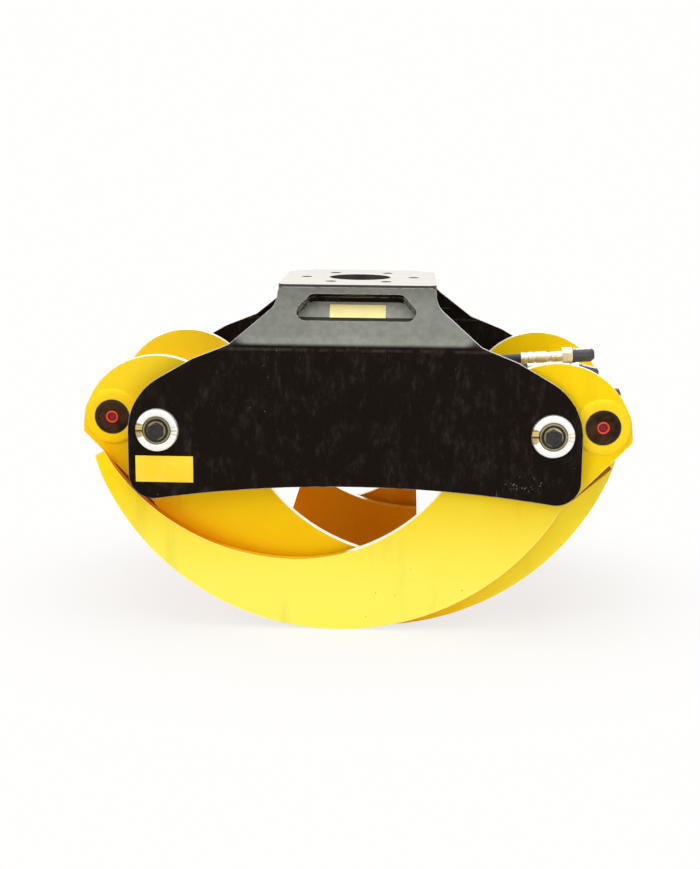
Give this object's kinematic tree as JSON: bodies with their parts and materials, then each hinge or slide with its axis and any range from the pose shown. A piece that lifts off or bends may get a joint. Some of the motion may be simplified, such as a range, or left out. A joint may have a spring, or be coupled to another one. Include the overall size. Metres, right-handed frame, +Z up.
{
  "type": "log grapple",
  "caption": "Hydraulic log grapple with a bent-plate hood, rotator flange, two crossing curved claws and a cylinder lying across between the claws' ears.",
  "frame": {"origin": "on the ground under the middle of the closed grapple", "axes": "+X towards the wide claw's pivot, +Y to the rear, +Z up out of the rotator flange"},
  "size_m": [0.8438, 0.446, 0.535],
  "materials": {
    "black_paint": "satin",
    "yellow_paint": "gloss",
    "bare_steel": "machined",
    "zinc": "zinc plated",
    "dark_steel": "blackened",
    "bright_steel": "ground",
    "rusty_steel": "rusted",
    "red_plastic": "moulded",
    "chrome_rod": "polished",
    "bronze": "satin",
    "black_rubber": "matt",
    "dark_plastic": "moulded"
  },
  "bodies": {
    "frame": {"rotator_flange": "bare_steel", "pivot_washers": "zinc", "pivot_bolts": "dark_steel", "front_cheek": "black_paint", "front_slot_tray": "black_paint", "front_web": "black_paint", "front_ribs": "black_paint", "rear_cheek": "black_paint", "rear_slot_tray": "black_paint", "rear_web": "black_paint", "rear_ribs": "black_paint", "pivot_pin_left_front": "bright_steel", "pivot_sleeve_left_front": "zinc", "pivot_pin_right_front": "bright_steel", "pivot_sleeve_right_front": "zinc", "pivot_pin_left_rear": "bright_steel", "pivot_sleeve_left_rear": "zinc", "pivot_pin_right_rear": "bright_steel", "pivot_sleeve_right_rear": "zinc"},
    "right_claw": {"right_claw_skin": "yellow_paint", "right_hub_bushes": "bronze", "right_cylinder_pin": "rusty_steel", "right_pin_plugs": "red_plastic", "right_claw_front_plate": "yellow_paint", "right_hub_front": "yellow_paint", "right_ear_tube_front": "yellow_paint", "right_claw_rear_plate": "yellow_paint", "right_hub_rear": "yellow_paint", "right_ear_tube_rear": "yellow_paint"},
    "left_claw": {"left_claw_skin": "yellow_paint", "left_hub_bushes": "bronze", "left_cylinder_pin": "rusty_steel", "left_pin_plugs": "red_plastic", "left_claw_front_plate": "yellow_paint", "left_hub_front": "yellow_paint", "left_ear_tube_front": "yellow_paint", "left_claw_rear_plate": "yellow_paint", "left_hub_rear": "yellow_paint", "left_ear_tube_rear": "yellow_paint"},
    "barrel": {"cylinder_base": "black_paint", "base_eye_bush": "bronze", "cylinder_barrel": "black_paint", "cylinder_gland": "black_paint", "rod_wiper": "black_rubber", "port_block": "black_paint", "grease_cap": "dark_plastic", "upper_hose": "black_rubber", "upper_hose_fitting": "zinc", "upper_hose_nut": "zinc", "upper_hose_cap": "dark_plastic", "lower_hose": "black_rubber", "lower_hose_fitting": "zinc", "lower_hose_nut": "zinc", "lower_hose_cap": "dark_plastic"},
    "rod": {"rod_eye": "black_paint", "rod_eye_bush": "bronze", "piston_rod": "chrome_rod", "piston": "bright_steel"}
  },
  "joints": [
    {"name": "right_claw_hinge", "type": "hinge", "parent": "frame", "child": "right_claw", "pos_m": [0.3, 0, 0.318], "axis": [0, -1, 0], "range_deg": [0, 115]},
    {"name": "left_claw_hinge", "type": "hinge", "parent": "frame", "child": "left_claw", "pos_m": [-0.3, 0, 0.318], "axis": [0, 1, 0], "range_deg": [0, 115]},
    {"name": "barrel_hinge", "type": "hinge", "parent": "right_claw", "child": "barrel", "pos_m": [0.376, 0, 0.33], "axis": [0, 1, 0], "range_deg": [0, 115]},
    {"name": "rod_hinge", "type": "hinge", "parent": "left_claw", "child": "rod", "pos_m": [-0.376, 0, 0.33], "axis": [0, -1, 0], "range_deg": [0, 115]}
  ],
  "couplings": [
    {"joint": "left_claw_hinge", "follows": "right_claw_hinge", "ratio": 1},
    {"joint": "barrel_hinge", "follows": "right_claw_hinge", "ratio": 1},
    {"joint": "rod_hinge", "follows": "right_claw_hinge", "ratio": 1}
  ]
}
